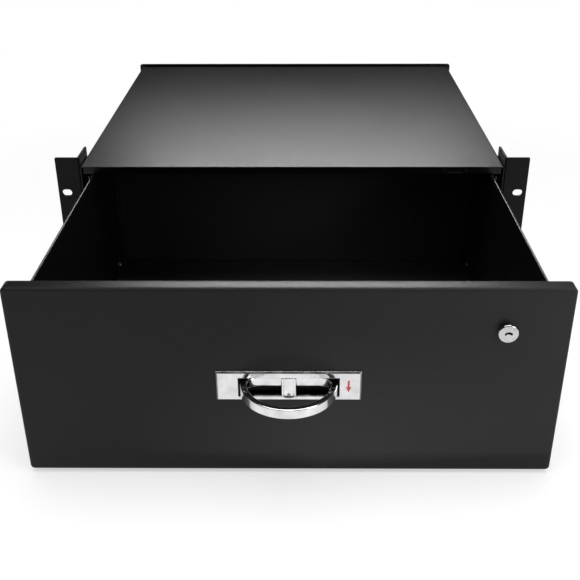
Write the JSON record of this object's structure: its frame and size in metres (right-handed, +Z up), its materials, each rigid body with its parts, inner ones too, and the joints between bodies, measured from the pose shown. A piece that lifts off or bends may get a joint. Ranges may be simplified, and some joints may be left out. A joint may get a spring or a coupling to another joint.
{
  "type": "sliding rack drawer",
  "caption": "Lockable sheet-steel drawer on ball slides for a nineteen-inch equipment rack, with rack ears, a flip-out recessed handle and a cam lock.",
  "frame": {"origin": "middle of the pattern of rack slots, on the front face of the rack ears", "axes": "+Z up, -Y out of the rack towards the user, +X to the user's right"},
  "size_m": [0.4826, 0.7255, 0.177],
  "materials": {
    "panel_powder_coat": "fine-textured black powder coat",
    "case_powder_coat": "fine-textured black powder coat",
    "drawer_powder_coat": "fine-textured black powder coat",
    "zinc_plate": "bright zinc plate",
    "chrome": "polished chrome plate",
    "black_plastic": "moulded, matte",
    "buffer_rubber": "moulded rubber",
    "brass": "stamped brass",
    "red_enamel": "thin printed enamel mark on the handle plate"
  },
  "bodies": {
    "case": {"case_wrapper": "case_powder_coat", "case_base": "case_powder_coat", "rear_cover": "case_powder_coat", "rear_screws": "case_powder_coat", "base_rivets": "case_powder_coat", "left_ear": "case_powder_coat", "right_ear": "case_powder_coat", "ear_screws": "zinc_plate", "ear_nuts": "zinc_plate", "lock_strike": "zinc_plate", "strike_rivets": "case_powder_coat", "left_outer_rail": "zinc_plate", "right_outer_rail": "zinc_plate", "slide_rivets": "case_powder_coat", "left_rail_buffer": "buffer_rubber", "right_rail_buffer": "buffer_rubber"},
    "drawer": {"drawer_tray": "drawer_powder_coat", "drawer_front": "drawer_powder_coat", "drawer_back": "drawer_powder_coat", "back_side_rivets": "drawer_powder_coat", "back_floor_rivets": "drawer_powder_coat", "rail_screws": "zinc_plate", "left_inner_rail": "zinc_plate", "right_inner_rail": "zinc_plate", "front_panel": "panel_powder_coat", "panel_studs": "zinc_plate", "panel_nuts": "zinc_plate", "handle_bezel": "chrome", "handle_housing": "black_plastic", "handle_screws": "zinc_plate", "handle_washer": "zinc_plate", "lock_body": "chrome", "lock_nut": "zinc_plate"},
    "left_middle": {"left_middle_rail": "zinc_plate"},
    "right_middle": {"right_middle_rail": "zinc_plate"},
    "left_outer_cage": {"left_outer_ball_cage": "zinc_plate", "left_outer_balls": "zinc_plate"},
    "right_outer_cage": {"right_outer_ball_cage": "zinc_plate", "right_outer_balls": "zinc_plate"},
    "left_inner_cage": {"left_inner_ball_cage": "zinc_plate", "left_inner_balls": "zinc_plate"},
    "right_inner_cage": {"right_inner_ball_cage": "zinc_plate", "right_inner_balls": "zinc_plate"},
    "handle": {"handle_rotor": "chrome", "handle_axle": "zinc_plate", "handle_grub_screw": "zinc_plate"},
    "lock_cylinder": {"lock_plug": "chrome", "lock_wafers": "brass", "lock_cam": "zinc_plate", "cam_screw": "zinc_plate"}
  },
  "joints": [
    {"name": "drawer_slide", "type": "slide", "parent": "case", "child": "drawer", "axis": [0, -1, 0], "range_m": [-0.2623, 0.0877]},
    {"name": "left_middle_slide", "type": "slide", "parent": "case", "child": "left_middle", "axis": [0, -1, 0], "range_m": [-0.13115, 0.04385]},
    {"name": "left_outer_cage_slide", "type": "slide", "parent": "case", "child": "left_outer_cage", "axis": [0, -1, 0], "range_m": [-0.06557, 0.02193]},
    {"name": "left_inner_cage_slide", "type": "slide", "parent": "case", "child": "left_inner_cage", "axis": [0, -1, 0], "range_m": [-0.19673, 0.06578]},
    {"name": "right_middle_slide", "type": "slide", "parent": "case", "child": "right_middle", "axis": [0, -1, 0], "range_m": [-0.13115, 0.04385]},
    {"name": "right_outer_cage_slide", "type": "slide", "parent": "case", "child": "right_outer_cage", "axis": [0, -1, 0], "range_m": [-0.06557, 0.02193]},
    {"name": "right_inner_cage_slide", "type": "slide", "parent": "case", "child": "right_inner_cage", "axis": [0, -1, 0], "range_m": [-0.19673, 0.06578]},
    {"name": "handle_turn", "type": "hinge", "parent": "drawer", "child": "handle", "pos_m": [0, -0.275, -0.0018], "axis": [0, 0, 1], "range_deg": [-180, 0]},
    {"name": "lock_turn", "type": "hinge", "parent": "drawer", "child": "lock_cylinder", "pos_m": [0.1665, -0.2751, 0.04905], "axis": [0, 1, 0], "range_deg": [0, 90]}
  ],
  "couplings": [
    {"joint": "left_middle_slide", "follows": "drawer_slide", "ratio": 0.5},
    {"joint": "left_outer_cage_slide", "follows": "drawer_slide", "ratio": 0.25},
    {"joint": "left_inner_cage_slide", "follows": "drawer_slide", "ratio": 0.75},
    {"joint": "right_middle_slide", "follows": "drawer_slide", "ratio": 0.5},
    {"joint": "right_outer_cage_slide", "follows": "drawer_slide", "ratio": 0.25},
    {"joint": "right_inner_cage_slide", "follows": "drawer_slide", "ratio": 0.75}
  ]
}
